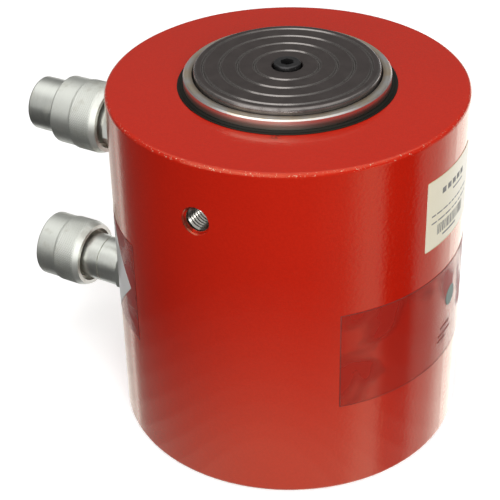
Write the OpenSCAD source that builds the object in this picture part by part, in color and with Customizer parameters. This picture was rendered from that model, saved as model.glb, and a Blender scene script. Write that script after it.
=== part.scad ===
// Double-acting hydraulic cylinder with a short stroke and two screw couplings.
// Origin: the centre of the base. +Z is the lifting direction. The couplings point along -X.
// The plunger is drawn fully retracted. All sizes are millimetres.

/* [Cylinder body] */
// Outside diameter
body_d = 176; // [174:1:184]
// Height, base to painted top
body_h = 183; // [183:1:186]
// Bore diameter
bore_d = 130; // [128:1:131]
// Rounding of the top and bottom outer edges
edge_round = 2; // [1:0.5:4]
// Underside of the guide head, above the base
head_z = 142; // [142:1:143]

/* [Base cap] */
// Thickness of the cap that closes the base
cap_h = 34; // [32:1:35]
// Diameter of its thread
cap_thread_d = 134; // [133:1:136]
// Length of its thread
cap_thread_h = 22; // [18:1:22]

/* [Plunger and piston] */
// Plunger diameter
plunger_d = 100; // [99:1:101]
// How far the retracted plunger stands above the body
plunger_stand = 6; // [4:0.5:10]
// Stroke
stroke = 50; // [40:1:50]
// Underside of the piston, above the base
piston_z = 52; // [52:1:52]
// Piston height
piston_h = 28; // [28:1:28]
// Diameter of the spigot that carries the piston
spigot_d = 72; // [68:1:74]
// Diameter of the shoulder that stops the stroke
shoulder_d = 114; // [110:1:116]

/* [Saddle] */
// Saddle diameter
saddle_d = 90; // [84:1:90]
// How far the saddle stands above the plunger
saddle_stand = 3; // [2:0.5:5]
// Depth of the saddle's seat in the plunger
saddle_seat = 5; // [4:0.5:8]
// Radius of the innermost groove
groove_r = 15.6; // [12:0.1:16]
// Distance from one groove to the next
groove_pitch = 8.27; // [7:0.01:8.5]
// Number of grooves
grooves = 4; // [2:1:4]

/* [Holes] */
// Height of the two lifting-eye holes
eye_z = 153; // [150:1:160]
// Counterbore of a lifting-eye hole
eye_cbore_d = 13.5; // [13:0.5:18]
// Depth of its thread
eye_depth = 14; // [10:1:14]
// Pitch circle of the base holes
base_pcd = 155; // [153:1:156]

/* [Couplings] */
// Height of the coupling that advances the plunger
advance_z = 45.5; // [44:0.5:47]
// Height of the coupling that retracts the plunger
retract_z = 136.5; // [135:0.5:137]
// Distance of the advance sleeve's back face from the cylinder's axis
advance_sleeve_at = 124.5; // [103:0.5:124.5]
// Distance of the retract sleeve's back face from the cylinder's axis
retract_sleeve_at = 104.5; // [103:0.5:124.5]
// Size of the hexagon across its flats
hex_af = 27; // [24:1:27]
// Length from the cylinder's axis to the end of the nose
nose_at = 149.5; // [148:0.5:152]
// Nose diameter
nose_d = 28.6; // [28:0.1:28.8]
// Sleeve diameter over the knurled band
sleeve_d = 37; // [36:0.5:40]
// Sleeve length
sleeve_l = 28; // [28:0.5:30]

/* [Labels] */
// Width of the nameplate along the curve, in degrees
plate_angle = 31.2; // [20:0.1:40]
// Width of the clear film, in degrees
film_angle = 92.2; // [60:0.1:100]
// Direction of the diamond label, in degrees from +X
diamond_az = -140.9; // [-145:0.1:-138]
// Half of the diamond's diagonal
diamond_half = 27; // [20:0.5:27]

/* [Hidden] */
$fn = 96;
ARC_STEPS = 5;
body_r = body_d / 2;
bore_r = bore_d / 2;
cap_thread_r = cap_thread_d / 2;
plunger_r = plunger_d / 2;
spigot_r = spigot_d / 2;

snug = 0.03;          // gap between pieces that are fixed together
running = 0.05;       // radial clearance of a ring that slides on its mate
loose = 0.3;          // radial clearance where metal passes metal

plunger_z = body_h + plunger_stand;              // top ring of the plunger
saddle_z = plunger_z + saddle_stand;             // top face of the saddle
piston_top = piston_z + piston_h;
shoulder_top = min(piston_top + 11.8, head_z - stroke - 0.2);
rod_thread_r = 33;
nut_r = 48;
seat_r = saddle_d / 2 + 0.6;

// Guide head, from the bottom: guide ring, rod seal with its backup ring, wiper
guide_z = [146, 156];
seal_z = [160, 170];
wiper_z = body_h - 7;
guide_groove_r = plunger_r + 3.3;
seal_groove_r = plunger_r + 7.5;
wiper_r = plunger_r + 3;

// Piston grooves: lower guide ring, seal, upper guide ring
piston_guides = [[54.5, 60], [72, 77.5]];
piston_seal_z = [62, 70];
guide_depth = 3;
piston_r = bore_r - loose;
piston_seal_r = bore_r - 6.5;
static_ring_z = 66;

// M12 lifting-eye and base holes at the thread's outer diameter, M8 saddle screw
m12_r = 6;
eye_cbore_depth = 2;
base_hole_depth = 20;
screw_r = 4;
head_r = 6.5;
head_h = 7.2;
screw_seat_z = saddle_z - 5.5;

// Coupling stations along its own axis, measured from the cylinder's axis
hex_back = 86.5;
hex_front = 102;
hex_r = hex_af / sqrt(3);
port_r = 8.35;
port_floor = 74;
thread_seal_r = 11.4;
thread_seal_h = 1.25;
drill_r = 3.5;
barrel_r = 13;
chamber_r = 7.5;
chamber_floor = 108;
nose_back = 133.1;
thread_r = 11;
socket_floor = 139.5;
mouth_floor = 143;
mouth_r = 8;
poppet_r = chamber_r - loose;
poppet_back = 129;
seal_in_r = 5.8;
seal_out_r = 7.7;

// Sleeve stations, measured from its back face
recess_end = 4;
ring_at = [5.3, 7.3];
flange_end = 8.5;
knurl_at = [3, 16];
sleeve_bore_r = nose_d / 2 + 1.1;
flange_r = barrel_r + 0.4;

label_t = 0.2;
film_t = 0.1;
plate_z = [123.5, 161.5];
film_z = [51.6, 105.4];
side_film_z = [64, 120];
side_film_angle = 42.6;
label_lift = 0.02;

// Points of an arc about c
function arc(c, r, from, to) =
    [for (i = [0:ARC_STEPS]) let (a = from + (to - from) * i / ARC_STEPS) c + r * [cos(a), sin(a)]];

// A plain ring about Z
module ring(inner, outer, low, high) {
    rotate_extrude() translate([inner, low]) square([outer - inner, high - low]);
}

// An O-ring that fills the space from inner to outer
module o_ring(inner, outer, z) {
    rotate_extrude() translate([(inner + outer) / 2, z]) circle(r = (outer - inner) / 2, $fn = 32);
}

// Turns local +Z to the coupling direction, at height z
module at_port(z) translate([0, 0, z]) rotate([0, -90, 0]) children();

// A lifting-eye hole with its counterbore. The local origin is its mouth, and +Z leaves it.
module eye_hole() {
    floor_z = -eye_cbore_depth - eye_depth;
    r = eye_cbore_d / 2;
    rotate_extrude() polygon([[0, floor_z - 2.5], [m12_r, floor_z], [m12_r, -eye_cbore_depth],
        [r, -eye_cbore_depth], [r, -0.6], [r + 0.8, 0.2], [r + 0.8, 3], [0, 3]]);
}

// Seat and drilling of a port
module port(z) {
    at_port(z) {
        translate([0, 0, hex_back]) cylinder(r = hex_r + 0.4, h = body_r);
        translate([0, 0, hex_back - thread_seal_h]) cylinder(r = thread_seal_r + snug, h = body_r);
        translate([0, 0, port_floor]) cylinder(r = port_r, h = body_r);
        translate([0, 0, bore_r - 5]) cylinder(r = drill_r, h = body_r);
    }
}

module cylinder_body() {
    color("firebrick") difference() {
        rotate_extrude() polygon(concat(
            arc([body_r - edge_round, edge_round], edge_round, -90, 0),
            arc([body_r - edge_round, body_h - edge_round], edge_round, 0, 90),
            [[wiper_r + snug, body_h], [wiper_r + snug, wiper_z], [plunger_r + loose, wiper_z],
                [plunger_r + loose, seal_z[1]], [seal_groove_r, seal_z[1]], [seal_groove_r, seal_z[0]],
                [plunger_r + loose, seal_z[0]], [plunger_r + loose, guide_z[1]],
                [guide_groove_r, guide_z[1]], [guide_groove_r, guide_z[0]],
                [plunger_r + loose, guide_z[0]], [plunger_r + loose, head_z],
                [bore_r, head_z], [bore_r, cap_thread_h], [cap_thread_r, cap_thread_h],
                [cap_thread_r, 0]]));
        port(advance_z);
        port(retract_z);
        for (side = [90, -90])
            translate([0, -sign(side) * body_r, eye_z]) rotate([side, 0, 0]) eye_hole();
        for (i = [0:3]) rotate(45 + 90 * i)
            translate([base_pcd / 2, 0, -1]) cylinder(r = m12_r, h = base_hole_depth + 1);
    }
}

module base_cap() {
    pilot_r = bore_r - snug;
    color("dimgray") difference() {
        rotate_extrude() polygon([[0, 0], [cap_thread_r - 1.2, 0], [cap_thread_r - snug, 1.2],
            [cap_thread_r - snug, cap_thread_h - snug], [pilot_r, cap_thread_h - snug],
            [pilot_r, cap_h - 9.5], [bore_r - 4.4, cap_h - 9.5], [bore_r - 4.4, cap_h - 4],
            [pilot_r, cap_h - 4], [pilot_r, cap_h - 0.8], [pilot_r - 0.8, cap_h], [0, cap_h]]);
        for (side = [-1, 1]) translate([45 * side, 0, -1]) cylinder(r = 5, h = 13);
    }
}

module base_seal() color("#202020") o_ring(bore_r - 4.37, bore_r - snug, cap_h - 7.2);

module base_backup_ring() color("ivory") ring(bore_r - 4.37, bore_r - 0.05, cap_h - 5, cap_h - 4.05);

module guide_ring() {
    color("saddlebrown")
        ring(plunger_r + running, guide_groove_r - 0.05, guide_z[0] + 0.1, guide_z[1] - 0.1);
}

module rod_seal() {
    low = seal_z[0] + 0.2;
    high = seal_z[1] - 2.5;
    inner = plunger_r + running;
    outer = seal_groove_r - 0.05;
    color("royalblue") rotate_extrude() polygon([[inner, low], [inner + 1.8, low],
        [(inner + outer) / 2, low + 2.8], [outer - 1.8, low], [outer, low], [outer, high],
        [inner, high]]);
}

module rod_backup_ring() {
    color("ivory")
        ring(plunger_r + running, seal_groove_r - 0.05, seal_z[1] - 2.4, seal_z[1] - 0.1);
}

// Dirt wiper: its lip stands a little proud of the painted top
module wiper_seal() {
    inner = plunger_r + running;
    color("#2b2a1e") rotate_extrude() polygon([[inner + 0.5, wiper_z + snug],
        [wiper_r, wiper_z + snug], [wiper_r, body_h + 0.3], [wiper_r - 0.4, body_h + 0.6],
        [inner + 1.3, body_h + 0.35], [inner + 0.5, body_h + 1], [inner, body_h + 1],
        [inner, body_h - 0.8], [inner + 0.5, body_h - 2]]);
}

module plunger() {
    color("silver") difference() {
        rotate_extrude() polygon([[0, piston_z - 16], [rod_thread_r - 1, piston_z - 16],
            [rod_thread_r, piston_z - 15], [rod_thread_r, piston_z], [spigot_r, piston_z],
            [spigot_r, piston_top], [shoulder_d / 2, piston_top], [shoulder_d / 2, shoulder_top - 1],
            [shoulder_d / 2 - 1, shoulder_top], [plunger_r, shoulder_top],
            [plunger_r, plunger_z - 0.7], [plunger_r - 0.7, plunger_z], [seat_r + 0.3, plunger_z],
            [seat_r, plunger_z - 0.3], [seat_r, plunger_z - saddle_seat],
            [0, plunger_z - saddle_seat]]);
        translate([0, 0, plunger_z - saddle_seat - 20]) cylinder(r = screw_r, h = 21);
    }
}

module piston() {
    color("slategray") rotate_extrude() polygon(concat(
        [[spigot_r + snug, piston_z], [piston_r - 1, piston_z], [piston_r, piston_z + 1]],
        [for (g = [piston_guides[0], piston_seal_z, piston_guides[1]])
            let (r = g == piston_seal_z ? piston_seal_r : bore_r - guide_depth)
            each [[piston_r, g[0]], [r, g[0]], [r, g[1]], [piston_r, g[1]]]],
        [[piston_r, piston_top - 1], [piston_r - 1, piston_top - snug],
            [spigot_r + snug, piston_top - snug], [spigot_r + snug, static_ring_z + 1.6],
            [spigot_r + 2.6, static_ring_z + 1.6], [spigot_r + 2.6, static_ring_z - 1.6],
            [spigot_r + snug, static_ring_z - 1.6]]));
}

module piston_seal() {
    color("royalblue") rotate_extrude() polygon([[piston_seal_r + 0.05, piston_seal_z[0] + 0.1],
        [bore_r - 1, piston_seal_z[0] + 0.1], [bore_r - running, piston_seal_z[0] + 1.5],
        [bore_r - running, piston_seal_z[1] - 1.5], [bore_r - 1, piston_seal_z[1] - 0.1],
        [piston_seal_r + 0.05, piston_seal_z[1] - 0.1]]);
}

module piston_guide_ring(span) {
    color("saddlebrown")
        ring(bore_r - guide_depth + 0.05, bore_r - running, span[0] + 0.1, span[1] - 0.1);
}
module piston_guide_ring_lower() piston_guide_ring(piston_guides[0]);
module piston_guide_ring_upper() piston_guide_ring(piston_guides[1]);

module piston_o_ring() color("#202020") o_ring(spigot_r + 0.1, spigot_r + 2.55, static_ring_z);

// Round nut with four spanner slots and a hole for its lock screw
module piston_nut() {
    low = cap_h + 0.3;
    high = piston_z - snug;
    color("dimgray") difference() {
        rotate_extrude() polygon([[rod_thread_r + snug, low], [nut_r - 1, low], [nut_r, low + 1],
            [nut_r, high], [rod_thread_r + snug, high]]);
        for (i = [0:3]) rotate(45 + 90 * i)
            translate([nut_r - 3, -4, low - 1]) cube([4, 8, high - low + 2]);
        translate([0, 0, (low + high) / 2]) rotate([0, 90, 0]) cylinder(r = 3 + snug, h = nut_r + 1);
    }
}

module nut_lock_screw() {
    mid = (cap_h + 0.3 + piston_z - snug) / 2;
    color("#303030") translate([rod_thread_r + 0.1, 0, mid]) rotate([0, 90, 0]) difference() {
        cylinder(r = 3, h = 10);
        translate([0, 0, 7]) cylinder(r = 1.7, h = 4, $fn = 6);
    }
}

module saddle() {
    r = saddle_d / 2;
    low = plunger_z - saddle_seat + snug;
    half = 0.8;
    depth = 0.8;
    color("#4a4544") rotate_extrude() polygon(concat(
        [[screw_r + 0.5, low], [r - 0.5, low], [r, low + 0.5]],
        arc([r - 1.8, saddle_z - 1.8], 1.8, 0, 90),
        [for (i = [grooves - 1:-1:0]) let (g = groove_r + i * groove_pitch)
            each [[g + half, saddle_z], [g + 0.2, saddle_z - depth], [g - 0.2, saddle_z - depth],
                [g - half, saddle_z]]],
        [[head_r + 1.3, saddle_z], [head_r + 0.9, saddle_z - 0.4], [head_r + 0.9, screw_seat_z],
            [screw_r + 0.5, screw_seat_z]]));
}

module saddle_screw() {
    top = screw_seat_z + head_h;
    color("#2c2c30") difference() {
        rotate_extrude() polygon(concat(
            [[0, plunger_z - saddle_seat - 14], [screw_r - 0.8, plunger_z - saddle_seat - 14],
                [screw_r - snug, plunger_z - saddle_seat - 13], [screw_r - snug, screw_seat_z + snug],
                [head_r, screw_seat_z + snug]],
            arc([head_r - 0.8, top - 0.8], 0.8, 0, 90),
            [[0, top]]));
        translate([0, 0, top - 4.5]) cylinder(d = 6.93, h = 5, $fn = 6);
    }
}

// Coupling half: port thread, hexagon and barrel, with the valve chamber inside
module coupling_body(hex_turn) {
    color("#b9bab4") difference() {
        union() {
            translate([0, 0, port_floor + 1]) cylinder(r = port_r - snug, h = hex_back - port_floor);
            intersection() {
                translate([0, 0, hex_back + snug]) rotate(hex_turn)
                    cylinder(r = hex_r, h = hex_front - hex_back - snug, $fn = 6);
                rotate_extrude() polygon([[0, hex_back], [hex_r - 1, hex_back],
                    [hex_r, hex_back + 0.8], [hex_r, hex_front - 1.2], [hex_r - 2, hex_front],
                    [0, hex_front]]);
            }
            rotate_extrude() polygon([[0, hex_front - 1], [barrel_r, hex_front - 1],
                [barrel_r, 114], [barrel_r - 0.5, 114.2], [barrel_r - 0.5, 114.9],
                [barrel_r, 115.1], [barrel_r, nose_back - snug], [thread_r, nose_back - snug],
                [thread_r, socket_floor - 0.2], [0, socket_floor - 0.2]]);
        }
        translate([0, 0, port_floor]) cylinder(r = drill_r, h = chamber_floor - port_floor + 1);
        translate([0, 0, chamber_floor]) cylinder(r = chamber_r, h = socket_floor - chamber_floor);
    }
}

// Nose that screws onto the barrel: valve seat inside, socket for the mating half in front
module nose() {
    r = nose_d / 2;
    color("#c9cac6") rotate_extrude() polygon(concat(
        [[thread_r + snug, nose_back], [r - 0.6, nose_back], [r, nose_back + 0.6]],
        arc([r - 1.2, nose_at - 1.2], 1.2, 0, 90),
        [[mouth_r + 0.5, nose_at], [mouth_r, nose_at - 0.5], [mouth_r, mouth_floor],
            [seal_out_r + 0.05, mouth_floor], [seal_out_r + 0.05, mouth_floor - 0.8],
            [seal_in_r - 0.05, mouth_floor - 0.8], [seal_in_r - 0.05, mouth_floor],
            [4, mouth_floor], [4, 142], [6.5, socket_floor], [9.4, socket_floor],
            [9.4, socket_floor - snug], [thread_r + snug, socket_floor - snug]]));
}

module thread_seal() {
    color("#202020") ring(port_r, thread_seal_r, hex_back - thread_seal_h + snug, hex_back);
}

module mouth_seal() color("#202020") ring(seal_in_r, seal_out_r, mouth_floor - 0.75, mouth_floor - 0.05);

// Poppet valve, closed on the seat in the nose
module poppet() {
    color("#a8a9a6") rotate_extrude() polygon([[0, poppet_back - 14], [3.6, poppet_back - 14],
        [4, poppet_back - 13.6], [4, poppet_back], [poppet_r, poppet_back],
        [poppet_r, socket_floor - 0.5], [6.4, socket_floor - 0.3], [3.7, 142 - 0.15],
        [3.6, mouth_floor - 0.1], [0, mouth_floor - 0.1]]);
}

// Helical valve spring: a round wire swept along the coil
module valve_spring() {
    turns = 7;
    steps = 12;
    sides = 8;
    wire_r = 0.6;
    coil_r = 5.6;
    low = chamber_floor + wire_r + 0.1;
    rise = poppet_back - chamber_floor - 2 * wire_r - 0.2;
    n = turns * steps;
    points = [for (i = [0:n]) for (j = [0:sides - 1])
        let (a = 360 * i / steps, b = 360 * j / sides, r = coil_r + wire_r * cos(b))
        [r * cos(a), r * sin(a), low + rise * i / n + wire_r * sin(b)]];
    walls = [for (i = [0:n - 1]) for (j = [0:sides - 1]) let (k = (j + 1) % sides)
        [i * sides + j, i * sides + k, (i + 1) * sides + k, (i + 1) * sides + j]];
    color("#8d8f92") polyhedron(points, concat([[for (j = [0:sides - 1]) sides - 1 - j]], walls,
        [[for (j = [0:sides - 1]) n * sides + j]]));
}

// Split ring that holds the sleeve on the barrel; it slides with the sleeve, which turns on it
module sleeve_ring(back) {
    color("#9a9b98")
        ring(barrel_r + running, 15.7, back + ring_at[0] + 0.1, back + ring_at[1] - 0.1);
}

// Screw sleeve: recessed back, groove for its ring, knurled band, plain front
module sleeve(back) {
    r = sleeve_d / 2;
    front_r = r - 0.4;
    color("#b4b5b0") translate([0, 0, back]) rotate_extrude() polygon(concat(
        [[15.2, 0], [r - 1.2, 0], [r, knurl_at[0]], [r, knurl_at[1]],
            [front_r, knurl_at[1] + 0.4]],
        arc([front_r - 1, sleeve_l - 1], 1, 0, 90),
        [[sleeve_bore_r + 0.6, sleeve_l], [sleeve_bore_r, sleeve_l - 0.6],
            [sleeve_bore_r, flange_end], [flange_r, flange_end], [flange_r, ring_at[1]],
            [16, ring_at[1]], [16, ring_at[0]], [flange_r, ring_at[0]], [flange_r, recess_end],
            [15.2, recess_end]]));
}

module advance_coupling_body() at_port(advance_z) coupling_body(9);
module advance_nose() at_port(advance_z) nose();
module advance_thread_seal() at_port(advance_z) thread_seal();
module advance_mouth_seal() at_port(advance_z) mouth_seal();
module advance_poppet() at_port(advance_z) poppet();
module advance_spring() at_port(advance_z) valve_spring();
module advance_sleeve_ring() at_port(advance_z) sleeve_ring(advance_sleeve_at);
module advance_sleeve() at_port(advance_z) sleeve(advance_sleeve_at);

module retract_coupling_body() at_port(retract_z) coupling_body(22.6);
module retract_nose() at_port(retract_z) nose();
module retract_thread_seal() at_port(retract_z) thread_seal();
module retract_mouth_seal() at_port(retract_z) mouth_seal();
module retract_poppet() at_port(retract_z) poppet();
module retract_spring() at_port(retract_z) valve_spring();
module retract_sleeve_ring() at_port(retract_z) sleeve_ring(retract_sleeve_at);
module retract_sleeve() at_port(retract_z) sleeve(retract_sleeve_at);

// A thin label wrapped on the body: its middle direction, its width in degrees, its height span
module wrapped(azimuth, angle, span, low_r, high_r) {
    rotate(azimuth - angle / 2) rotate_extrude(angle = angle)
        translate([low_r, span[0]]) square([high_r - low_r, span[1] - span[0]]);
}

module nameplate() {
    low = body_r + label_lift;
    color("#e9e2cf") wrapped(0, plate_angle, plate_z, low, low + label_t);
}

module clear_film() {
    low = body_r + label_lift;
    color("#b03030", 0.4) wrapped(0, film_angle, film_z, low, low + film_t);
}

module side_film() {
    low = body_r + label_lift;
    color("#a83434", 0.6) wrapped(diamond_az, side_film_angle, side_film_z, low, low + film_t);
}

module diamond_label() {
    low = body_r + 2 * label_lift + film_t;
    mid_z = (side_film_z[0] + side_film_z[1]) / 2;
    color("#d8d4cf") intersection() {
        ring(low, low + film_t, mid_z - diamond_half, mid_z + diamond_half);
        rotate(diamond_az) translate([body_r, 0, mid_z]) rotate([45, 0, 0])
            cube([40, diamond_half * sqrt(2), diamond_half * sqrt(2)], center = true);
    }
}

cylinder_body();
base_cap();
base_seal();
base_backup_ring();
guide_ring();
rod_seal();
rod_backup_ring();
wiper_seal();
plunger();
piston();
piston_seal();
piston_guide_ring_lower();
piston_guide_ring_upper();
piston_o_ring();
piston_nut();
nut_lock_screw();
saddle();
saddle_screw();
advance_coupling_body();
advance_nose();
advance_thread_seal();
advance_mouth_seal();
advance_poppet();
advance_spring();
advance_sleeve_ring();
advance_sleeve();
retract_coupling_body();
retract_nose();
retract_thread_seal();
retract_mouth_seal();
retract_poppet();
retract_spring();
retract_sleeve_ring();
retract_sleeve();
nameplate();
clear_film();
side_film();
diamond_label();
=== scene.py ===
"""Studio scene of a short double-acting hydraulic cylinder.

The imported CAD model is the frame. This script gives every CAD node its finish and adds what the
CAD leaves plain: threads, knurling, labels, films and their print. Lengths are in metres in the
CAD's frame: the origin is the centre of the base, +Z is up and the couplings point along -X.
"""
import math
import random

import bpy
from mathutils import Matrix, Vector


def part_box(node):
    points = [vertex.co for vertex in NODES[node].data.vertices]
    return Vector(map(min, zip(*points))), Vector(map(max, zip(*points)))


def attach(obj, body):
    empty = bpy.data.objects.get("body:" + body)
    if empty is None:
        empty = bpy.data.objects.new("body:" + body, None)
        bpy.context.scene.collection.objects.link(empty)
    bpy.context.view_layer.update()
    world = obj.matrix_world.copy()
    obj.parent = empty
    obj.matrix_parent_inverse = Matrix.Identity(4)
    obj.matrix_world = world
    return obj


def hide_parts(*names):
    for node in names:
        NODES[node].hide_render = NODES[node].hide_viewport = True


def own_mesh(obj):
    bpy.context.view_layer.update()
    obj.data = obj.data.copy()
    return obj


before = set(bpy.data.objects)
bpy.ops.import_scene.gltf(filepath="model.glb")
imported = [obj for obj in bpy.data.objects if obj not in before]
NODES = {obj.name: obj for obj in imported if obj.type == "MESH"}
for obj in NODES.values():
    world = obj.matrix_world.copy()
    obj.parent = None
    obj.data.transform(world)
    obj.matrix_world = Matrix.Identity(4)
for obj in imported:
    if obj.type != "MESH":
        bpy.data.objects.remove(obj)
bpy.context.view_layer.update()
MM = 0.001
rng = random.Random(7)

BODY_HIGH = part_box("cylinder_body")[1]
BODY_R = BODY_HIGH.y
BODY_H = BODY_HIGH.z
EYE_Z = 153 * MM
BASE_PCD_R = 77.5 * MM
THREAD_R = 6 * MM
SIDES = ("advance", "retract")
COUPLING_Z = {}
for _side in SIDES:
    COUPLING_Z[_side] = sum(corner.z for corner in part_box(_side + "_sleeve")) / 2


# ---------------------------------------------------------------- camera, light, floor

def make_camera():
    """A long lens, above the object and to the right of -Y, looking down on its front."""
    azimuth = math.radians(28.4)
    distance, height = 640.1 * MM, 508.6 * MM
    pitch, yaw, roll = math.radians(33.39), math.radians(1.79), math.radians(-1.48)
    data = bpy.data.cameras.new("camera")
    data.sensor_width = 36.0
    data.lens = 107.04
    data.clip_end = 50.0
    camera = bpy.data.objects.new("camera", data)
    bpy.context.scene.collection.objects.link(camera)
    turn = (Matrix.Rotation(azimuth + yaw, 4, "Z") @ Matrix.Rotation(math.pi / 2 - pitch, 4, "X")
            @ Matrix.Rotation(roll, 4, "Z"))
    place = Vector((distance * math.sin(azimuth), -distance * math.cos(azimuth), height))
    camera.matrix_world = Matrix.Translation(place) @ turn
    bpy.context.scene.camera = camera


class Graph:
    """Short calls for building a node tree. A value that is a socket is linked, any other is set."""

    def __init__(self, tree):
        self.tree = tree
        tree.nodes.clear()

    def add(self, kind, inputs=None, **props):
        node = self.tree.nodes.new("ShaderNode" + kind)
        for name, value in props.items():
            setattr(node, name, value)
        for name, value in (inputs or {}).items():
            self.put(node.inputs[name], value)
        return node

    def put(self, socket, value):
        if isinstance(value, bpy.types.NodeSocket):
            self.tree.links.new(value, socket)
        else:
            socket.default_value = value

    def math(self, operation, a, b=0.0, c=0.0):
        return self.add("Math", {0: a, 1: b, 2: c}, operation=operation).outputs[0]

    def vector(self, operation, a, b=(0, 0, 0)):
        out = "Value" if operation == "LENGTH" else "Vector"
        return self.add("VectorMath", {0: a, 1: b}, operation=operation).outputs[out]

    def smooth(self, value, low, high):
        """Smoothstep of value from low..high to 0..1."""
        return self.add("MapRange", {"Value": value, "From Min": low, "From Max": high},
                        interpolation_type="SMOOTHSTEP").outputs[0]

    def mix(self, factor, a, b):
        node = self.add("Mix", {0: factor, 6: a, 7: b}, data_type="RGBA")
        return node.outputs[2]

    def noise(self, vector, scale, detail=2.0, roughness=0.5, distortion=0.0):
        return self.add("TexNoise", {"Vector": vector, "Scale": scale, "Detail": detail,
                                     "Roughness": roughness, "Distortion": distortion}).outputs[0]

    def ramp(self, value, stops):
        """Grey levels at places from 0 to 1."""
        node = self.add("ValToRGB", {0: value})
        elements = node.color_ramp.elements
        while len(elements) < len(stops):
            elements.new(0.5)
        for element, (place, level) in zip(elements, stops):
            element.position = place
            element.color = (level, level, level, 1.0)
        return node.outputs[0]

    def bump(self, height, strength, distance, normal=None):
        inputs = {"Strength": strength, "Distance": distance, "Height": height}
        if normal is not None:
            inputs["Normal"] = normal
        return self.add("Bump", inputs).outputs[0]


# What a vertical wall mirrors: (direction in degrees from +X, radiance), below the horizon
MIRRORED = [(-180, 0.10), (-150, 0.05), (-100, 0.08), (-50, 0.12), (-26, 0.25), (-12, 0.85),
            (-2, 0.85), (4, 0.02), (24, 0.02), (31, 0.55), (48, 0.8), (74, 2.3), (105, 1.9),
            (135, 0.9), (156, 0.7), (161, 1.6), (167, 0.25), (180, 0.10)]
# Discs of mirrored floor in front of the object: (radius in mm, radiance), added up
APRON = [(36, 0.13), (50, 0.14), (66, 0.14), (84, 0.14), (104, 0.12), (126, 0.10), (150, 0.09),
         (176, 0.07)]
# What lies above the horizon: (height of the direction's unit vector, radiance)
SKY = [(0.0, 0.20), (0.3, 0.20), (0.64, 0.24), (0.84, 1.45), (1.0, 1.45)]


def make_world():
    """White to the camera. Mirrored and bounced light sees a bright sky and a striped horizon."""
    world = bpy.data.worlds.new("studio")
    bpy.context.scene.world = world
    world.use_nodes = True
    g = Graph(world.node_tree)
    direction = g.add("TexCoord").outputs["Generated"]
    part = g.add("SeparateXYZ", {0: direction})
    angle = g.math("ARCTAN2", part.outputs[1], part.outputs[0])
    turn = g.math("MULTIPLY_ADD", angle, 0.5 / math.pi, 0.5)
    top = 2.5
    below = g.ramp(turn, [(a / 360 + 0.5, v / top) for a, v in MIRRORED])
    above = g.ramp(part.outputs[2], [(z, v / top) for z, v in SKY])
    horizon = g.smooth(part.outputs[2], -0.06, 0.06)
    seen = g.add("Background", {"Color": g.mix(horizon, below, above), "Strength": top})
    plain = g.add("Background", {"Color": (1, 1, 1, 1), "Strength": 1.0})
    path = g.add("LightPath")
    both = g.add("MixShader", {0: path.outputs["Is Camera Ray"], 1: seen.outputs[0],
                               2: plain.outputs[0]})
    g.add("OutputWorld", {"Surface": both.outputs[0]})


# Area lights: (name, place, target, size, power, shows in reflections, lights surfaces)
LIGHTS = [
    ("key", (0.53, -0.81, 0.62), (0, 0, 0.09), 0.7, 9.6, False, True),
    ("sheen", (-0.06, -0.87, 0.62), (0, 0, 0.09), 1.1, 5.6, True, False),
    ("streak", (0.57, -1.05, 0.24), (0, 0, 0.15), 0.22, 2.6, True, False),
]


def make_light(name, place, target, size, power, mirrored, lighting):
    """Soft square light."""
    data = bpy.data.lights.new(name, "AREA")
    data.size = size
    data.energy = power
    light = bpy.data.objects.new(name, data)
    bpy.context.scene.collection.objects.link(light)
    light.location = place
    aim = Vector(target) - Vector(place)
    light.rotation_euler = aim.to_track_quat("-Z", "Y").to_euler()
    light.visible_glossy = mirrored
    light.visible_diffuse = lighting


def make_apron(name, place, radius, radiance):
    """Glow that only reflections see: the pale floor close in front of the object."""
    data = bpy.data.lights.new(name, "AREA")
    data.shape = "DISK"
    data.size = 2 * radius
    data.energy = radiance * math.pi * math.pi * radius ** 2
    glow = bpy.data.objects.new(name, data)
    bpy.context.scene.collection.objects.link(glow)
    glow.location = place
    glow.rotation_euler = (math.pi, 0, 0)
    glow.visible_camera = False
    glow.visible_diffuse = False
    glow.visible_transmission = False


def make_floor():
    """A wide pale disc that melts into the white behind it."""
    steps, radius = 96, 6.0
    turns = [2 * math.pi * i / steps for i in range(steps)]
    points = [(radius * math.cos(turn), radius * math.sin(turn), 0.0) for turn in turns]
    mesh = bpy.data.meshes.new("floor")
    mesh.from_pydata(points, [], [list(range(steps))])
    floor = bpy.data.objects.new("floor", mesh)
    bpy.context.scene.collection.objects.link(floor)
    material = bpy.data.materials.new("floor_paper")
    material.use_nodes = True
    g = Graph(material.node_tree)
    where = g.add("TexCoord").outputs["Object"]
    grain = g.noise(where, 900.0, 3.0)
    shader = g.add("BsdfPrincipled", {"Base Color": g.mix(grain, (0.92, 0.92, 0.91, 1),
                                                          (0.95, 0.95, 0.945, 1)),
                                      "Roughness": 0.9, "Emission Color": (1, 1, 1, 1),
                                      "Emission Strength": 0.30})
    g.add("OutputMaterial", {"Surface": shader.outputs[0]})
    floor.data.materials.append(material)
    floor.visible_glossy = False
    floor.visible_diffuse = False


# ---------------------------------------------------------------- materials

MATERIALS = {}


def material(name):
    """Starts a material and returns (graph, object coordinates)."""
    made = bpy.data.materials.new(name)
    made.use_nodes = True
    MATERIALS[name] = made
    g = Graph(made.node_tree)
    return g, g.add("TexCoord").outputs["Object"]


def close(g, **inputs):
    """Ends a material with one principled shader. Names come as in the shader, with _ for spaces."""
    shader = g.add("BsdfPrincipled", {k.replace("_", " "): v for k, v in inputs.items()})
    g.add("OutputMaterial", {"Surface": shader.outputs[0]})


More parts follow.
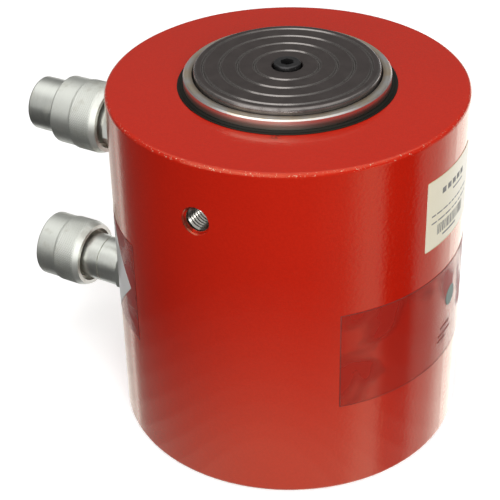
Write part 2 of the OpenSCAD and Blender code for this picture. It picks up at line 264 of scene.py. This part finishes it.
def lathe_coordinates(g, where, axis_z=None):
    """(distance from the axis, place along it). The axis is Z, or with axis_z a line along X at
    that height."""
    part = g.add("SeparateXYZ", {0: where})
    if axis_z is None:
        across = g.add("CombineXYZ", {0: part.outputs[0], 1: part.outputs[1]}).outputs[0]
        along = part.outputs[2]
    else:
        up = g.math("SUBTRACT", part.outputs[2], axis_z)
        across = g.add("CombineXYZ", {0: up, 1: part.outputs[1]}).outputs[0]
        along = part.outputs[0]
    return g.vector("LENGTH", across), along


def turned_marks(g, radius, along, density, detail=3.0, roughness=0.7):
    """Noise drawn out into rings about the axis."""
    both = g.add("CombineXYZ", {0: radius, 1: along}).outputs[0]
    stretched = g.vector("MULTIPLY", both, (density, density, 0.0))
    return g.noise(stretched, 1.0, detail, roughness)


def span(g, a, b):
    """Length of the hypotenuse over two legs."""
    return g.vector("LENGTH", g.add("CombineXYZ", {0: a, 1: b}).outputs[0])


def line_distance(g, where, x, y, z):
    """Distance from a line: give None for the coordinate that the line runs along."""
    part = g.add("SeparateXYZ", {0: where})
    legs = [g.math("SUBTRACT", part.outputs[i], v) for i, v in enumerate((x, y, z))
            if v is not None]
    return span(g, *legs)


def red_enamel():
    """Glossy red over steel: light orange peel, dust nibs, bare steel inside the threaded holes."""
    g, where = material("red_enamel")
    part = g.add("SeparateXYZ", {0: where})
    patch = g.noise(where, 14.0, 3.0)
    peel = g.noise(where, 560.0, 2.0, 0.45)
    ripple = g.noise(where, 60.0, 1.0)
    nib = g.smooth(g.noise(where, 1500.0, 2.0, 0.6), 0.70, 0.80)
    dust = g.smooth(g.noise(where, 700.0, 4.0, 0.7), 0.62, 0.78)
    paint = g.mix(patch, (0.48, 0.010, 0.0032, 1), (0.54, 0.014, 0.0045, 1))
    paint = g.mix(g.math("MULTIPLY", dust, 0.22), paint, (0.16, 0.020, 0.014, 1))
    grain = g.smooth(g.noise(where, 850.0, 2.0, 0.6), 0.36, 0.64)
    paint = g.mix(g.math("MULTIPLY", grain, 0.14), paint, (0.30, 0.006, 0.003, 1))
    # bare steel: inside the two lifting-eye holes, the four base holes, and scuffs on the base
    thread_edge = (THREAD_R + 0.15 * MM, THREAD_R + 0.05 * MM)
    from_eye = line_distance(g, where, 0.0, None, EYE_Z)
    depth = g.math("SUBTRACT", BODY_R, g.math("ABSOLUTE", part.outputs[1]))
    eye = g.math("MULTIPLY", g.smooth(from_eye, *thread_edge),
                 g.smooth(depth, 1.75 * MM, 1.95 * MM))
    # painted shade: a mottled dark patch in the left half of each lifting-eye counterbore and hole
    eye_counterbore_shade = g.math("MULTIPLY", g.smooth(from_eye, 7.7 * MM, 7.2 * MM),
                    g.smooth(part.outputs[0], 4 * MM, -4 * MM))
    eye_counterbore_shade = g.math("MULTIPLY", eye_counterbore_shade, g.smooth(g.noise(where, 260.0, 4.0, 0.6), 0.30, 0.55))
    hole_at = BASE_PCD_R * math.sqrt(0.5)
    fold_x = g.math("SUBTRACT", g.math("ABSOLUTE", part.outputs[0]), hole_at)
    fold_y = g.math("SUBTRACT", g.math("ABSOLUTE", part.outputs[1]), hole_at)
    base = g.math("MULTIPLY", g.smooth(span(g, fold_x, fold_y), *thread_edge),
                  g.smooth(part.outputs[2], 30 * MM, 25 * MM))
    scuff = g.math("MULTIPLY", g.smooth(part.outputs[2], 0.35 * MM, 0.1 * MM),
                   g.smooth(g.noise(where, 120.0, 6.0, 0.7), 0.46, 0.56))
    bare = g.math("MAXIMUM", g.math("MAXIMUM", eye, base), scuff)
    color = g.mix(bare, paint, (0.42, 0.40, 0.37, 1))
    # the painted shade in the left half of each lifting-eye counterbore
    color = g.mix(g.math("MULTIPLY", eye_counterbore_shade, 0.85), color, (0.050, 0.022, 0.016, 1))
    # a greasy smudge on the top, at the front of the wiper
    away = g.vector("LENGTH", g.vector("SUBTRACT", where, (21 * MM, -50.2 * MM, BODY_H)))
    smudge = g.math("MULTIPLY", g.smooth(away, 4.0 * MM, 0.6 * MM),
                    g.smooth(g.noise(where, 900.0, 4.0, 0.7), 0.42, 0.58))
    color = g.mix(g.math("MULTIPLY", smudge, 0.75), color, (0.035, 0.012, 0.008, 1))
    # tiny chips along the top rim
    reach = span(g, part.outputs[0], part.outputs[1])
    rim = g.math("MULTIPLY", g.smooth(reach, BODY_R - 1.8 * MM, BODY_R - 1.0 * MM),
                 g.smooth(part.outputs[2], BODY_H - 1.8 * MM, BODY_H - 1.0 * MM))
    chip = g.math("MULTIPLY", rim, g.smooth(g.noise(where, 800.0, 3.0, 0.7), 0.60, 0.66))
    color = g.mix(g.math("MULTIPLY", chip, 0.8), color, (0.62, 0.42, 0.34, 1))
    rough = g.math("MULTIPLY_ADD", patch, 0.06, 0.12)
    rough = g.math("MULTIPLY_ADD", bare, 0.16, rough)
    height = g.math("ADD", g.math("MULTIPLY", peel, 0.6), g.math("MULTIPLY", nib, 0.5))
    normal = g.bump(ripple, 0.10, 0.6 * MM)
    normal = g.bump(height, 0.60, 0.30 * MM, normal)
    close(g, Base_Color=color, Metallic=bare, Roughness=rough, Normal=normal, Coat_Weight=0.3,
          Coat_Roughness=0.07, Coat_Tint=(1.0, 0.88, 0.55, 1), Specular_Tint=(1.0, 0.85, 0.42, 1))


def ground_steel():
    """The plunger: ground and plated, with turning marks and a yellow tint on its top ring."""
    g, where = material("ground_steel")
    radius, along = lathe_coordinates(g, where)
    marks = turned_marks(g, radius, along, 2600.0)
    stain = g.noise(where, 70.0, 5.0, 0.65)
    on_top = g.smooth(along, 188.6 * MM, 188.95 * MM)
    tint = g.math("MULTIPLY", g.smooth(stain, 0.34, 0.66), g.math("MULTIPLY_ADD", on_top, 0.60, 0.10))
    # painted shade: the top ring darkens to brown towards its inner edge, at the foot of the saddle
    inner = g.math("MULTIPLY", on_top, g.smooth(radius, 48.2 * MM, 46.0 * MM))
    steel = g.mix(marks, (0.68, 0.67, 0.65, 1), (0.80, 0.79, 0.77, 1))
    color = g.mix(tint, steel, (0.72, 0.56, 0.34, 1))
    color = g.mix(g.math("MULTIPLY", inner, 0.65), color, (0.30, 0.22, 0.14, 1))
    # darker and rougher down the side wall towards the wiper: an oil film, and painted shade for the
    # dark surroundings the wall mirrors
    oil = g.smooth(along, 188.0 * MM, 185.5 * MM)
    color = g.mix(g.math("MULTIPLY", oil, 0.80), color, (0.10, 0.085, 0.06, 1))
    rough = g.math("MULTIPLY_ADD", marks, 0.14, g.math("MULTIPLY_ADD", oil, 0.16, 0.26))
    close(g, Base_Color=color, Metallic=1.0, Roughness=rough, Normal=g.bump(marks, 0.25, 0.03 * MM))


GROOVE_R, GROOVE_PITCH, GROOVE_HALF = 15.6 * MM, 8.27 * MM, 0.8 * MM


def phosphated_steel():
    """The saddle: dark phosphate, mottled, rubbed bright along its grooves and its rim, a lightening
    that is also a painted highlight.
    """
    g, where = material("phosphated_steel")
    radius, along = lathe_coordinates(g, where)
    steps = g.math("DIVIDE", g.math("SUBTRACT", radius, GROOVE_R - GROOVE_PITCH / 2), GROOVE_PITCH)
    off = g.math("MULTIPLY", g.math("ABSOLUTE", g.math("SUBTRACT", g.math("FRACT", steps), 0.5)),
                 GROOVE_PITCH)
    wear_and_highlight_noise = g.noise(where, 260.0, 5.0, 0.7)
    # wear and painted highlight: lighter along the groove lips and around the rim
    lip = g.math("MULTIPLY", g.smooth(off, GROOVE_HALF + 0.30 * MM, GROOVE_HALF - 0.05 * MM),
                 g.smooth(radius, 12 * MM, 13 * MM))
    rim = g.math("MULTIPLY", g.smooth(radius, 43.0 * MM, 44.4 * MM), 0.85)
    wear_and_highlight = g.math("MULTIPLY", g.math("MAXIMUM", lip, rim), g.smooth(wear_and_highlight_noise, 0.15, 0.50))
    mottle = g.noise(where, 130.0, 6.0, 0.65)
    turned = turned_marks(g, radius, along, 1500.0, 2.0, 0.6)
    color = g.mix(mottle, (0.080, 0.066, 0.062, 1), (0.140, 0.118, 0.110, 1))
    # the wear and painted highlight lighten the colour
    color = g.mix(g.math("MULTIPLY", wear_and_highlight, 0.42), color, (0.42, 0.40, 0.38, 1))
    rough = g.math("MULTIPLY_ADD", mottle, 0.14, 0.28)
    rough = g.math("SUBTRACT", rough, g.math("MULTIPLY", wear_and_highlight, 0.12))
    normal = g.bump(mottle, 0.12, 0.10 * MM)
    normal = g.bump(turned, 0.22, 0.03 * MM, normal)
    close(g, Base_Color=color, Metallic=0.85, Roughness=rough, Normal=normal)


def black_steel():
    """Black oxide with oily patches and bare high spots."""
    g, where = material("black_steel")
    patch = g.noise(where, 160.0, 5.0, 0.6)
    fine = g.noise(where, 1400.0, 3.0, 0.6)
    color = g.mix(patch, (0.030, 0.030, 0.033, 1), (0.085, 0.082, 0.080, 1))
    color = g.mix(g.smooth(fine, 0.62, 0.76), color, (0.30, 0.29, 0.28, 1))
    close(g, Base_Color=color, Metallic=0.85, Roughness=g.math("MULTIPLY_ADD", patch, 0.25, 0.22),
          Normal=g.bump(fine, 0.15, 0.03 * MM))


def plated_steel(name, axis_z, polish):
    """Nickel-plated, turned about the coupling's axis. polish 1 is mirror-like, 0 is satin."""
    g, where = material(name)
    marks = turned_marks(g, *lathe_coordinates(g, where, axis_z), 3200.0)
    stain = g.noise(where, 150.0, 5.0, 0.6)
    grime = g.smooth(stain, 0.50, 0.72)
    steel = g.mix(marks, (0.63, 0.65, 0.60, 1), (0.80, 0.81, 0.75, 1))
    color = g.mix(g.math("MULTIPLY", grime, 0.30), steel, (0.40, 0.38, 0.30, 1))
    rough = g.math("MULTIPLY_ADD", marks, 0.10, 0.40 - 0.22 * polish)
    rough = g.math("MULTIPLY_ADD", grime, 0.10, rough)
    close(g, Base_Color=color, Metallic=1.0, Roughness=rough,
          Normal=g.bump(marks, 0.30 - 0.15 * polish, 0.03 * MM))


def machined_steel():
    """Turned steel inside the cylinder."""
    g, where = material("machined_steel")
    marks = turned_marks(g, *lathe_coordinates(g, where), 1800.0)
    color = g.mix(marks, (0.42, 0.42, 0.42, 1), (0.56, 0.56, 0.55, 1))
    close(g, Base_Color=color, Metallic=1.0, Roughness=g.math("MULTIPLY_ADD", marks, 0.15, 0.25),
          Normal=g.bump(marks, 0.3, 0.03 * MM))


def thread_steel():
    """Freshly cut thread flanks: bright, with an oily film."""
    g, where = material("thread_steel")
    oil = g.noise(where, 500.0, 4.0, 0.6)
    color = g.mix(oil, (0.10, 0.095, 0.085, 1), (0.34, 0.33, 0.30, 1))
    close(g, Base_Color=color, Metallic=1.0, Roughness=g.math("MULTIPLY_ADD", oil, 0.15, 0.18),
          Normal=g.bump(oil, 0.1, 0.05 * MM))


def spring_steel():
    """Drawn wire."""
    g, where = material("spring_steel")
    draw = g.noise(where, 900.0, 3.0, 0.6)
    color = g.mix(draw, (0.36, 0.37, 0.39, 1), (0.50, 0.51, 0.53, 1))
    close(g, Base_Color=color, Metallic=1.0, Roughness=g.math("MULTIPLY_ADD", draw, 0.12, 0.26),
          Normal=g.bump(draw, 0.1, 0.03 * MM))


def rubber(name, dark, light, roughness):
    """Moulded seal: slightly oily, with a fine skin."""
    g, where = material(name)
    skin = g.noise(where, 1200.0, 3.0, 0.6)
    oil = g.noise(where, 90.0, 4.0, 0.6)
    close(g, Base_Color=g.mix(oil, dark, light), Normal=g.bump(skin, 0.2, 0.05 * MM),
          Roughness=g.math("MULTIPLY_ADD", oil, 0.25, roughness), Specular_IOR_Level=0.22)


def bronze():
    """Bearing strip: bronze flakes in resin."""
    g, where = material("bronze")
    flake = g.noise(where, 1600.0, 4.0, 0.7)
    close(g, Base_Color=g.mix(flake, (0.22, 0.12, 0.05, 1), (0.50, 0.31, 0.14, 1)), Metallic=0.4,
          Roughness=g.math("MULTIPLY_ADD", flake, 0.2, 0.4), Normal=g.bump(flake, 0.1, 0.04 * MM))


def vinyl(name, dark, light, roughness, edge=None):
    """Printed sticker stock. edge is (middle height, half height) of a yellowed border."""
    g, where = material(name)
    fibre = g.noise(where, 1100.0, 4.0, 0.6)
    patch = g.noise(where, 60.0, 4.0, 0.6)
    color = g.mix(patch, dark, light)
    if edge:
        mid, half = edge
        part = g.add("SeparateXYZ", {0: where})
        up = g.math("ABSOLUTE", g.math("SUBTRACT", part.outputs[2], mid))
        border = g.smooth(up, half - 0.9 * MM, half - 0.1 * MM)
        color = g.mix(g.math("MULTIPLY", border, 0.6), color, (0.62, 0.52, 0.24, 1))
    close(g, Base_Color=color, Roughness=g.math("MULTIPLY_ADD", patch, 0.15, roughness),
          Normal=g.bump(fibre, 0.06, 0.03 * MM), Coat_Weight=0.3, Coat_Roughness=0.12)


def clear_film():
    """Clear film over red: barely tints what is under it, and lies dull where glue has wetted out."""
    g, where = material("clear_film")
    glue = g.smooth(g.noise(where, 30.0, 2.0, 0.5, 0.5), 0.44, 0.62)
    fine = g.noise(where, 320.0, 2.0, 0.5)
    color = g.mix(glue, (0.52, 0.040, 0.026, 1), (0.46, 0.011, 0.005, 1))
    alpha = g.math("MULTIPLY_ADD", glue, 0.50, 0.14)
    normal = g.bump(fine, 0.10, 0.04 * MM)
    close(g, Base_Color=color, Roughness=g.math("MULTIPLY_ADD", glue, 0.34, 0.10), Normal=normal,
          Alpha=alpha, Specular_Tint=(1.0, 0.9, 0.6, 1))


def ink(name, dark, light, roughness=0.5):
    """Printed ink or grime, slightly uneven."""
    g, where = material(name)
    spread = g.noise(where, 1800.0, 3.0, 0.7)
    close(g, Base_Color=g.mix(spread, dark, light), Normal=g.bump(spread, 0.05, 0.02 * MM),
          Roughness=g.math("MULTIPLY_ADD", spread, 0.1, roughness))


PLATE_LOW, PLATE_HIGH = (corner.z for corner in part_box("nameplate"))


def make_materials():
    red_enamel()
    ground_steel()
    phosphated_steel()
    black_steel()
    machined_steel()
    thread_steel()
    spring_steel()
    bronze()
    clear_film()
    for side in SIDES:
        plated_steel(side + "_satin", COUPLING_Z[side], 0.0)
        plated_steel(side + "_bright", COUPLING_Z[side], 0.5)
    rubber("nitrile", (0.004, 0.004, 0.003, 1), (0.013, 0.012, 0.007, 1), 0.38)
    rubber("polyurethane", (0.02, 0.07, 0.26, 1), (0.04, 0.12, 0.36, 1), 0.30)
    rubber("ptfe", (0.74, 0.73, 0.67, 1), (0.84, 0.83, 0.78, 1), 0.38)
    vinyl("cream_label", (0.80, 0.73, 0.53, 1), (0.88, 0.82, 0.65, 1), 0.38,
          ((PLATE_LOW + PLATE_HIGH) / 2, (PLATE_HIGH - PLATE_LOW) / 2))
    vinyl("grey_label", (0.55, 0.53, 0.51, 1), (0.68, 0.66, 0.64, 1), 0.34)
    ink("grey_ink", (0.13, 0.13, 0.12, 1), (0.28, 0.27, 0.25, 1))
    ink("teal_ink", (0.14, 0.19, 0.17, 1), (0.26, 0.33, 0.29, 1))
    ink("brown_ink", (0.20, 0.040, 0.024, 1), (0.34, 0.085, 0.055, 1))
    ink("film_grime", (0.10, 0.016, 0.012, 1), (0.20, 0.035, 0.028, 1), 0.6)


# Which finish each CAD node takes; nodes that Blender pieces stand for aren't here
NODE_FINISH = {
    "cylinder_body": "red_enamel", "base_cap": "black_steel", "base_seal": "nitrile",
    "base_backup_ring": "ptfe", "guide_ring": "bronze", "rod_seal": "polyurethane",
    "rod_backup_ring": "ptfe", "wiper_seal": "nitrile", "plunger": "ground_steel",
    "piston": "machined_steel", "piston_seal": "polyurethane",
    "piston_guide_ring_lower": "bronze", "piston_guide_ring_upper": "bronze",
    "piston_o_ring": "nitrile", "piston_nut": "black_steel", "nut_lock_screw": "black_steel",
    "saddle": "phosphated_steel", "saddle_screw": "black_steel",
}
for _side in SIDES:
    NODE_FINISH.update({
        _side + "_coupling_body": _side + "_bright", _side + "_nose": _side + "_bright",
        _side + "_thread_seal": "nitrile", _side + "_mouth_seal": "nitrile",
        _side + "_poppet": "machined_steel",
        _side + "_sleeve_ring": "spring_steel", _side + "_sleeve": _side + "_satin",
    })


def finish_cad_nodes():
    """Every CAD node gets its procedural material in all its slots."""
    for name, finish in NODE_FINISH.items():
        slots = NODES[name].material_slots
        for slot in slots:
            slot.material = MATERIALS[finish]
        if not slots:
            NODES[name].data.materials.append(MATERIALS[finish])


# ---------------------------------------------------------------- added pieces

def piece(name, points, faces, finish, body):
    """One closed mesh piece with smooth shading that rides on a CAD body."""
    mesh = bpy.data.meshes.new(name)
    mesh.from_pydata(points, [], faces)
    mesh.validate()
    mesh.update()
    made = bpy.data.objects.new(name, mesh)
    bpy.context.scene.collection.objects.link(made)
    mesh.materials.append(MATERIALS[finish])
    mesh.shade_smooth()
    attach(made, body)
    return made


def sharpen(made, degrees):
    """Keeps edges steeper than this sharp."""
    made.data.set_sharp_from_angle(angle=math.radians(degrees))


def inner_thread(name, place, outward, major_r, height, pitch, length, body):
    """Helical ridge on the wall of a hole.

    place is the start of the thread on the axis and outward the direction it runs along. The ridge
    grows from nothing and fades away at its ends.
    """
    steps = 48
    count = int(length / pitch * steps)
    turn = Vector((0, 0, 1)).rotation_difference(Vector(outward)).to_matrix()
    points, faces = [], []
    for i in range(count + 1):
        fade = min(1.0, i / steps * 1.6, (count - i) / steps * 1.6)
        tall = height * max(fade, 0.02)
        angle = 2 * math.pi * i / steps
        middle = pitch * i / steps
        root_r, crest_r = major_r + 0.05 * MM, major_r - tall
        section = [(root_r, -0.47 * pitch), (crest_r, -0.07 * pitch),
                   (crest_r, 0.07 * pitch), (root_r, 0.47 * pitch)]
        for r, along in section:
            at = Vector((r * math.cos(angle), r * math.sin(angle), middle + along))
            points.append(Vector(place) + turn @ at)
    for i in range(count):
        for j in range(4):
            a, b = 4 * i + j, 4 * i + (j + 1) % 4
            faces.append((a, b, b + 4, a + 4))
    faces.append((3, 2, 1, 0))
    faces.append(tuple(4 * count + j for j in range(4)))
    sharpen(piece(name, points, faces, "thread_steel", body), 35)


def knurl_band(name, axis_z, start, end, inner_r, base_r, depth, count, finish, body):
    """Closed ring about a line along X with a raised diamond knurl. start and end are distances
    from the cylinder's axis."""
    per_knurl = 5
    around = count * per_knurl
    pitch = 2 * math.pi * base_r / count
    rows = int((end - start) / pitch * per_knurl)

    def ridge(value):
        return 1 - abs(2 * (value - math.floor(value)) - 1)

    points, faces = [], []

    def ring(radius_at, s):
        for i in range(around):
            angle = 2 * math.pi * i / around
            r = radius_at(i)
            points.append((-s, r * math.cos(angle), axis_z + r * math.sin(angle)))

    ring(lambda i: inner_r, start)
    for row in range(rows + 1):
        s = start + (end - start) * row / rows
        fade = min(1.0, row / 3, (rows - row) / 3)

        def radius(i, s=s, fade=fade):
            a = i / per_knurl + (s - start) / pitch
            b = i / per_knurl - (s - start) / pitch
            tall = min(ridge(a), ridge(b), 0.42) / 0.42
            return base_r + depth * tall * fade

        ring(radius, s)
    ring(lambda i: inner_r, end)
    rings = rows + 3
    for k in range(rings):
        here, there = k * around, (k + 1) % rings * around
        for i in range(around):
            j = (i + 1) % around
            faces.append((here + j, here + i, there + i, there + j))
    piece(name, points, faces, finish, body)


def wrapped_shell(name, azimuth, half_width, low, high, r, thickness, finish,
                  columns=60, rows=40, lift=None):
    """Thin closed sticker wrapped on the cylinder.

    azimuth is the direction of its middle in degrees. half_width(v) gives half its width along the
    curve at v, from 0 at the bottom to 1 at the top. lift(u, v) adds to the outer surface.
    """
    middle = math.radians(azimuth)
    points, faces = [], []
    for skin in (0, 1):
        for row in range(rows + 1):
            v = (1 - math.cos(math.pi * row / rows)) / 2
            half = half_width(v)
            for column in range(columns + 1):
                u = column / columns
                angle = middle + (2 * u - 1) * half / r
                far = r + skin * thickness
                if skin and lift:
                    far += lift(u, v)
                points.append((far * math.cos(angle), far * math.sin(angle),
                               low + (high - low) * v))
    wide = columns + 1
    skin_size = wide * (rows + 1)
    for row in range(rows):
        for column in range(columns):
            a = row * wide + column
            faces.append((a + 1, a, a + wide, a + wide + 1))
            b = a + skin_size
            faces.append((b, b + 1, b + wide + 1, b + wide))
    border = (list(range(wide))
              + [row * wide + columns for row in range(1, rows + 1)]
              + [rows * wide + column for column in range(columns - 1, -1, -1)]
              + [row * wide for row in range(rows - 1, 0, -1)])
    for a, b in zip(border, border[1:] + border[:1]):
        faces.append((a, b, b + skin_size, a + skin_size))
    made = piece(name, points, faces, finish, "cylinder")
    sharpen(made, 40)
    return made


def rounded(width, height, corner):
    """half_width function of a rectangle with rounded corners."""
    def half(v):
        edge = min(v, 1 - v) * height
        if edge >= corner:
            return width / 2
        return width / 2 - corner + math.sqrt(max(0.0, corner ** 2 - (corner - edge) ** 2))
    return half


def printed(name, azimuth, r, marks, finish):
    """Flat printed marks on the curve, all in one piece. A mark is (left, right, low, high) in
    metres along the curve from the azimuth, and in height."""
    middle = math.radians(azimuth)
    thick = 0.02 * MM
    points, faces = [], []
    for left, right, low, high in marks:
        steps = max(1, int((right - left) / (1.5 * MM)))
        first = len(points)
        for i in range(steps + 1):
            angle = middle + (left + (right - left) * i / steps) / r
            for z in (low, high):
                for far in (r, r + thick):
                    points.append((far * math.cos(angle), far * math.sin(angle), z))
        for i in range(steps):
            a = first + 4 * i
            for j, k in ((1, 3), (3, 2), (2, 0), (0, 1)):
                faces.append((a + j, a + j + 4, a + k + 4, a + k))
        last = first + 4 * steps
        faces.append((first, first + 1, first + 3, first + 2))
        faces.append((last + 2, last + 3, last + 1, last))
    piece(name, points, faces, finish, "cylinder")


def make_threads():
    """Thread in the lifting-eye holes, the base holes and the two sleeves."""
    pitch, tall = 1.75 * MM, 0.9 * MM
    eye_depth, eye_length = 15.6 * MM, 13 * MM
    for name, side in (("front", -1), ("back", 1)):
        start = Vector((0, side * (BODY_R - eye_depth), EYE_Z))
        inner_thread("eye_thread_" + name, start, (0, side, 0), THREAD_R, tall, pitch, eye_length,
                     "cylinder")
    base_depth, base_length = 19 * MM, 18 * MM
    for i in range(4):
        angle = math.pi / 4 + math.pi / 2 * i
        start = Vector((BASE_PCD_R * math.cos(angle), BASE_PCD_R * math.sin(angle), base_depth))
        inner_thread("base_thread_%d" % (i + 1), start, (0, 0, -1), THREAD_R, tall, pitch,
                     base_length, "cylinder")
    sleeve_r, sleeve_tall, sleeve_pitch, sleeve_length = 15.4 * MM, 0.85 * MM, 2 * MM, 15 * MM
    sleeve_start = 12 * MM
    for side in SIDES:
        start = Vector((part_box(side + "_sleeve")[1].x - sleeve_start, 0, COUPLING_Z[side]))
        inner_thread(side + "_sleeve_thread", start, (-1, 0, 0), sleeve_r, sleeve_tall,
                     sleeve_pitch, sleeve_length, side + "_sleeve")


def make_knurls():
    """Diamond knurl on the middle band of each sleeve."""
    inner_r, base_r, depth, count = 18.2 * MM, 18.47 * MM, 0.26 * MM, 84
    start, end = 3.1 * MM, 15.9 * MM
    for side in SIDES:
        back = -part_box(side + "_sleeve")[1].x
        knurl_band(side + "_sleeve_knurl", COUPLING_Z[side], back + start, back + end, inner_r,
                   base_r, depth, count, side + "_satin", side + "_sleeve")


def make_springs():
    """Valve springs with closed ends, made at one length though a real one shortens as its poppet
    lifts.
    """
    wire, coil_r, lift = 0.6 * MM, 5.6 * MM, 3 * MM
    turns, steps, sides = 8, 28, 10
    for side in SIDES:
        z = COUPLING_Z[side]
        low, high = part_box(side + "_spring")
        fixed, room = high.x - wire, high.x - low.x - 2 * wire
        closed = 2.05 * wire
        points, faces = [], []
        for i in range(turns * steps + 1):
            turn = i / steps
            inner = min(max(turn - 1, 0), turns - 2) / (turns - 2)
            far = (min(turn, 1) + max(turn - turns + 1, 0)) * closed + inner * (room - 2 * closed)
            for j in range(sides):
                b = 2 * math.pi * j / sides
                r = coil_r + wire * math.cos(b)
                angle = 2 * math.pi * turn
                points.append((fixed - far + wire * math.sin(b), r * math.cos(angle),
                               z + r * math.sin(angle)))
        for i in range(turns * steps):
            for j in range(sides):
                k = (j + 1) % sides
                here, there = i * sides, (i + 1) * sides
                faces.append((here + k, here + j, there + j, there + k))
        faces.append(tuple(range(sides)))
        faces.append(tuple(turns * steps * sides + j for j in reversed(range(sides))))
        spring = piece(side + "_spring_coil", points, faces, "spring_steel", "cylinder")
        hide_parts(side + "_spring")
        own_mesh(spring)


def make_nameplate():
    """Cream plate with plain bars where such a plate has print."""
    high = PLATE_HIGH
    wide = 2 * BODY_R * math.radians(15.6)
    outline = rounded(wide, PLATE_HIGH - PLATE_LOW, 0.8 * MM)
    plate = wrapped_shell("nameplate_plate", 0, outline, PLATE_LOW, PLATE_HIGH,
                          BODY_R + 0.04 * MM, 0.13 * MM, "cream_label")
    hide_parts("nameplate")
    marks = [((-12 + 5 * i) * MM, (-8.6 + 5 * i) * MM, high - 10.4 * MM, high - 7.4 * MM)
             for i in range(5)]
    marks.append((-1 * MM, 11 * MM, high - 13.2 * MM, high - 12.4 * MM))
    for z in (high - 20 * MM, high - 24 * MM):
        x = -20 * MM
        while x < 17 * MM:
            length = rng.uniform(2, 6) * MM
            marks.append((x, min(x + length, 18 * MM), z, z + 0.8 * MM))
            x += length + rng.uniform(0.8, 1.6) * MM
    x = -15 * MM
    while x < 13 * MM:
        bar = rng.choice((0.5, 0.9, 1.3)) * MM
        marks.append((x, x + bar, high - 31.5 * MM, high - 26 * MM))
        x += bar + rng.choice((0.5, 0.8)) * MM
    marks.append((-10 * MM, 4 * MM, high - 34 * MM, high - 33 * MM))
    printed("nameplate_print", 0, BODY_R + 0.175 * MM, marks, "grey_ink")


# Heights above the enamel: of a film, and of what is printed on the smooth and the lumpy one
FILM_LIFT, FILM_THICK = 0.03 * MM, 0.05 * MM
SMOOTH_PRINT, LUMPY_PRINT = 0.09 * MM, 0.13 * MM


def make_films():
    """The two clear films, their grimy edges, the diamond and the plain print on the large film."""
    low, high = (corner.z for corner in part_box("clear_film"))
    wide = 2 * BODY_R * math.radians(46.1)
    blisters = [(rng.uniform(0.05, 0.95), rng.uniform(0.1, 0.9), rng.uniform(0.010, 0.03),
                 rng.uniform(0.03, 0.10), rng.uniform(0.04, 0.10) * MM) for _ in range(26)]

    def lift(u, v):
        return min(0.045 * MM, sum(tall * math.exp(-((u - a) / w) ** 2 - ((v - b) / h) ** 2)
                                   for a, b, w, h, tall in blisters))

    film = wrapped_shell("clear_film_sheet", 0, rounded(wide, high - low, 1.0 * MM), low, high,
                         BODY_R + FILM_LIFT, FILM_THICK, "clear_film", 160, 64, lift)
    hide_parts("clear_film")
    half, line = wide / 2, 0.4 * MM
    edge = [(-half, half, high - line, high), (-half, -half + line, low, high - line),
            (half - line, half, low, high - line), (-half, half, low, low + line * 0.6)]
    printed("clear_film_edge", 0, BODY_R + LUMPY_PRINT, edge, "film_grime")
    dot_x, dot_z, dot_r = 3.7 * MM, 85 * MM, 5.5 * MM
    rows = 26
    dot = []
    for i in range(rows):
        z0 = dot_z - dot_r + 2 * dot_r * i / rows
        z1 = z0 + 2 * dot_r / rows
        reach = math.sqrt(max(0.0, dot_r ** 2 - ((z0 + z1) / 2 - dot_z) ** 2))
        dot.append((dot_x - reach, dot_x + reach, z0, z1))
    printed("clear_film_dot", 0, BODY_R + LUMPY_PRINT, dot, "teal_ink")
    bars = [(-6 * MM, 4 * MM, 69 * MM, 70.2 * MM), (-8 * MM, 6 * MM, 65 * MM, 66.0 * MM),
            (-8 * MM, 0 * MM, 62 * MM, 63.0 * MM)]
    printed("clear_film_bars", 0, BODY_R + LUMPY_PRINT, bars, "brown_ink")

    low, high = 64 * MM, 120 * MM
    azimuth = -140.9
    wide = BODY_R * math.radians(42.6)
    side = wrapped_shell("side_film_sheet", azimuth, rounded(wide, high - low, 1.0 * MM), low, high,
                         BODY_R + FILM_LIFT, FILM_THICK, "clear_film", 60, 48)
    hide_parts("side_film")
    half = wide / 2
    edge = [(half - line, half, low, high - line), (-half, half, high - line, high)]
    printed("side_film_edge", azimuth, BODY_R + SMOOTH_PRINT, edge, "film_grime")
    reach = 27 * MM
    middle = (low + high) / 2

    def diamond_half(v):
        return max(0.05 * MM, reach * (1 - abs(2 * v - 1)))

    diamond = wrapped_shell("diamond_sheet", azimuth, diamond_half, middle - reach,
                            middle + reach, BODY_R + 0.1 * MM, 0.1 * MM, "grey_label",
                            40, 40)
    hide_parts("diamond_label")


# ---------------------------------------------------------------- scene

def main():
    make_camera()
    make_world()
    make_floor()
    for light in LIGHTS:
        make_light(*light)
    for i, (radius, radiance) in enumerate(APRON):
        make_apron("apron_%d" % (i + 1), (30 * MM, -85 * MM, (0.5 + 0.1 * i) * MM), radius * MM,
                   radiance)
    make_materials()
    finish_cad_nodes()
    make_threads()
    make_knurls()
    make_springs()
    make_nameplate()
    make_films()
    scene = bpy.context.scene
    scene.view_settings.view_transform = "Standard"
    scene.view_settings.look = "None"


main()
